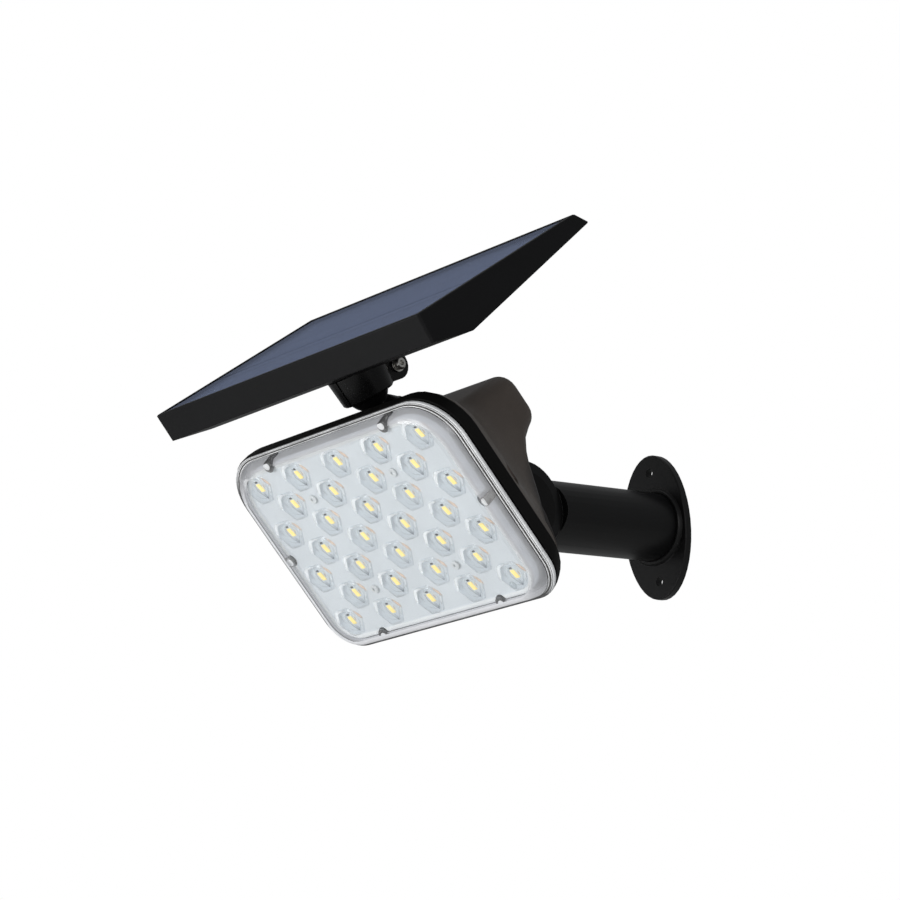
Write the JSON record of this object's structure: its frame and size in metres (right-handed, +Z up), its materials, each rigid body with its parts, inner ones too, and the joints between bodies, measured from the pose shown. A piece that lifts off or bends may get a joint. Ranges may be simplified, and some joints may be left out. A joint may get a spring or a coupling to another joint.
{
  "type": "solar flood light",
  "caption": "Solar flood light: multi-lens lamp head tilting on a tubular wall arm with an oval flange, and a solar panel on a clamped ball joint above it.",
  "frame": {"origin": "centre of the oval flange's back face, on the wall", "axes": "+Y into the wall along the arm, +X along the head hinge, +Z up; the lamp faces -Y and down"},
  "size_m": [0.2204, 0.2714, 0.198],
  "materials": {
    "arm_black": "satin",
    "charcoal_shell": "satin",
    "black_trim": "matt",
    "seal_rubber": "matt",
    "clear_plastic": "polished",
    "lens_plastic": "satin",
    "white_board": "matt",
    "bare_aluminium": "brushed",
    "stainless": "machined",
    "inner_black": "matt",
    "cell_wrap": "shrink wrap",
    "circuit_green": "solder mask",
    "button_red": "matt",
    "brass": "turned",
    "friction_fibre": "matt",
    "ball_black": "satin",
    "liner_grey": "matt",
    "cup_black": "satin",
    "tray_black": "fine texture",
    "cell_blue": "satin",
    "panel_glass": "polished"
  },
  "bodies": {
    "wall_arm": {"wall_flange": "arm_black", "arm_tube": "arm_black", "arm_screw_1": "stainless", "arm_screw_2": "stainless"},
    "head": {"rear_housing": "charcoal_shell", "front_frame": "black_trim", "cover_seal": "seal_rubber", "clear_cover": "clear_plastic", "cover_screw_1": "stainless", "cover_screw_2": "stainless", "cover_screw_3": "stainless", "cover_screw_4": "stainless", "cover_screw_5": "stainless", "cover_screw_6": "stainless", "lens_plate": "lens_plastic", "led_board": "white_board", "heat_spreader": "bare_aluminium", "board_screw_1": "stainless", "board_screw_2": "stainless", "board_screw_3": "stainless", "board_screw_4": "stainless", "light_sensor": "lens_plastic", "battery_cradle": "inner_black", "battery_cell_1": "cell_wrap", "battery_cell_2": "cell_wrap", "control_board": "circuit_green", "switch_board": "circuit_green", "button_boot": "seal_rubber", "hinge_bolt": "stainless", "hinge_insert": "brass", "friction_disc_left": "friction_fibre", "friction_disc_right": "friction_fibre", "ball_stem": "ball_black", "stem_seal": "seal_rubber", "stem_nut": "stainless"},
    "liner": {"ball_liner": "liner_grey"},
    "panel": {"panel_tray": "tray_black", "cell_sheet": "cell_blue", "panel_glass": "panel_glass", "junction_box": "inner_black", "cup_left": "cup_black", "cup_right": "cup_black", "cup_screw_1": "stainless", "cup_screw_2": "stainless", "cup_screw_3": "stainless", "cup_screw_4": "stainless", "pinch_bolt": "stainless", "pinch_washer": "stainless", "pinch_nut": "stainless"},
    "button": {"power_button": "button_red"}
  },
  "joints": [
    {"name": "head_tilt", "type": "hinge", "parent": "wall_arm", "child": "head", "pos_m": [0, -0.117, 0], "axis": [1, 0, 0], "range_deg": [-40, 35]},
    {"name": "panel_tilt", "type": "hinge", "parent": "head", "child": "liner", "pos_m": [0, -0.21407, 0.05876], "axis": [1, 0, 0], "range_deg": [-17, 8]},
    {"name": "panel_swivel", "type": "hinge", "parent": "liner", "child": "panel", "pos_m": [0, -0.21407, 0.05876], "axis": [0, -0.5165, 0.8563], "range_deg": [-90, 90]},
    {"name": "power_press", "type": "slide", "parent": "head", "child": "button", "axis": [0, -0.7672, -0.6414], "range_m": [0, 0.0012], "stiffness_N_per_m": 900}
  ]
}
